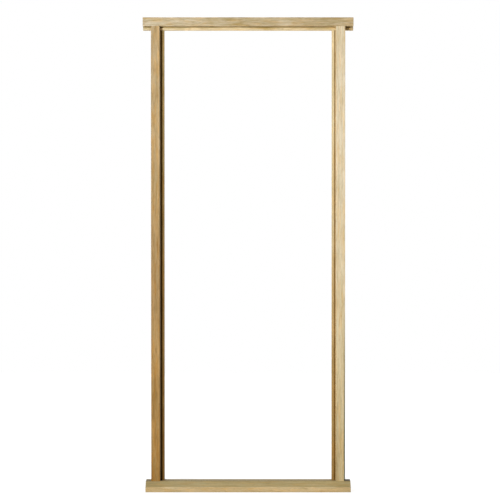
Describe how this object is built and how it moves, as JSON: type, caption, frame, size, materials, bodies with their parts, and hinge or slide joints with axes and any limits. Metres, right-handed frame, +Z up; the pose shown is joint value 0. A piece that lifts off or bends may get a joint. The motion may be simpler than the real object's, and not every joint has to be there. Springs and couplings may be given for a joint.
{
  "type": "door frame",
  "caption": "Rebated timber frame for an outer door, with horned head, two jambs, a sloping sill with drip groove, and wedged mortise and tenon joints.",
  "frame": {"origin": "centre of the underside of the whole, on the floor under the middle of the sill", "axes": "+Z up along the jambs, +Y from the rebated side with the sloping sill towards the back, +X to the right as seen from the rebated side"},
  "size_m": [0.92, 0.145, 2.072],
  "materials": {
    "timber": "planed bare hardwood",
    "wedge_timber": "sawn bare hardwood"
  },
  "bodies": {
    "root": {"head": "timber", "left_jamb": "timber", "right_jamb": "timber", "sill": "timber", "head_wedges": "wedge_timber", "sill_wedges": "wedge_timber"}
  },
  "joints": []
}
